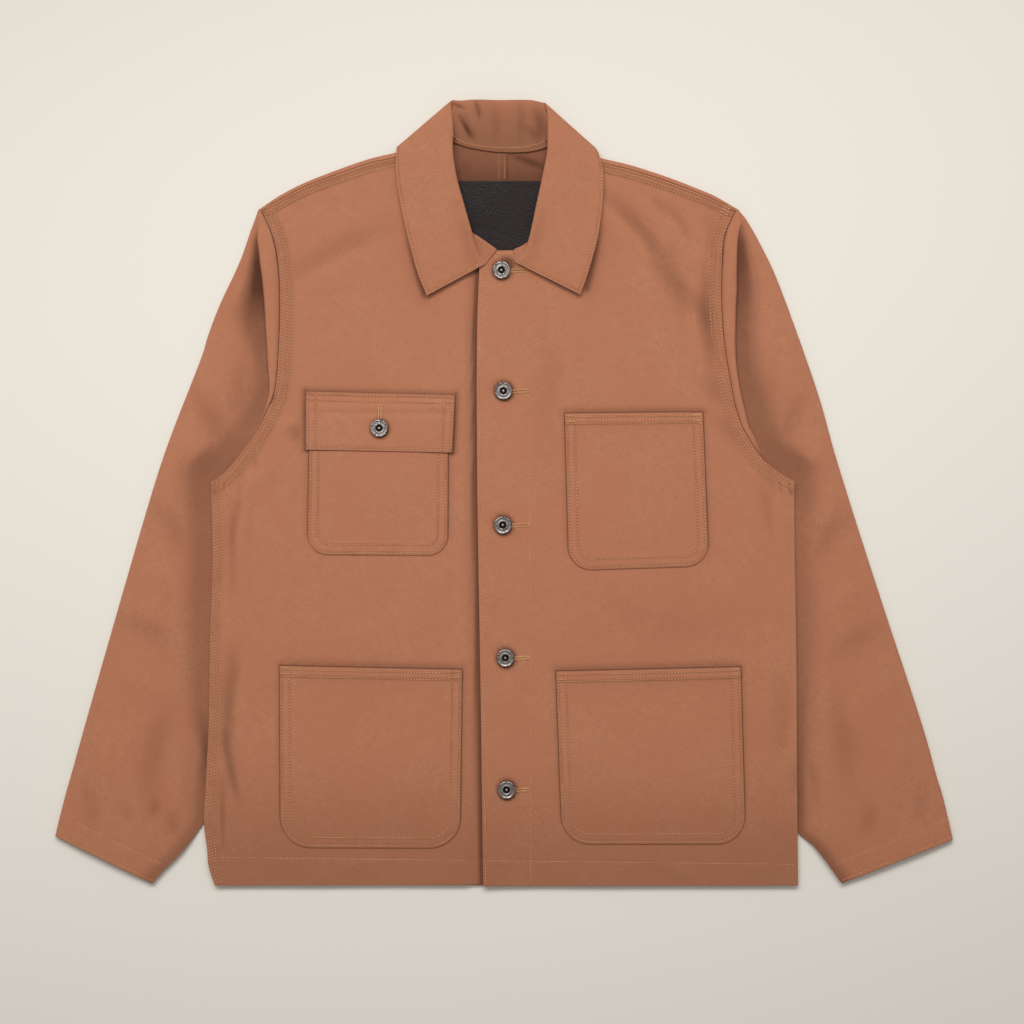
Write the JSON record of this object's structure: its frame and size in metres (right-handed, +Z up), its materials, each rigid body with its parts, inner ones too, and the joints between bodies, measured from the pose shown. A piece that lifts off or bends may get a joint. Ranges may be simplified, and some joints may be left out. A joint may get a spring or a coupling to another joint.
{
  "type": "chore jacket",
  "caption": "Button-front canvas work jacket with a rolled collar and patch pockets, laid flat on its back with its sleeves at its sides.",
  "frame": {"origin": "on the floor, at the middle of the laid jacket's outline", "axes": "+X towards the wearer's left sleeve, +Y towards the collar, +Z up out of the front"},
  "size_m": [0.8662, 0.7575, 0.0165],
  "materials": {
    "canvas": "brushed cotton duck in rust brown, matt",
    "thread": "tan polyester-cotton topstitch thread",
    "leather": "dark brown grained leather, satin",
    "button_metal": "cast gunmetal tack button, aged nickel"
  },
  "bodies": {
    "root": {"back_left": "canvas", "back_right": "canvas", "front_left": "canvas", "front_right": "canvas", "sleeve_left": "canvas", "sleeve_right": "canvas", "collar": "canvas", "neck_patch": "leather", "chest_pocket_left": "canvas", "chest_pocket_right": "canvas", "chest_flap": "canvas", "hand_pocket_left": "canvas", "hand_pocket_right": "canvas", "button_1": "button_metal", "button_2": "button_metal", "button_3": "button_metal", "button_4": "button_metal", "button_5": "button_metal", "flap_button": "button_metal"}
  },
  "joints": []
}
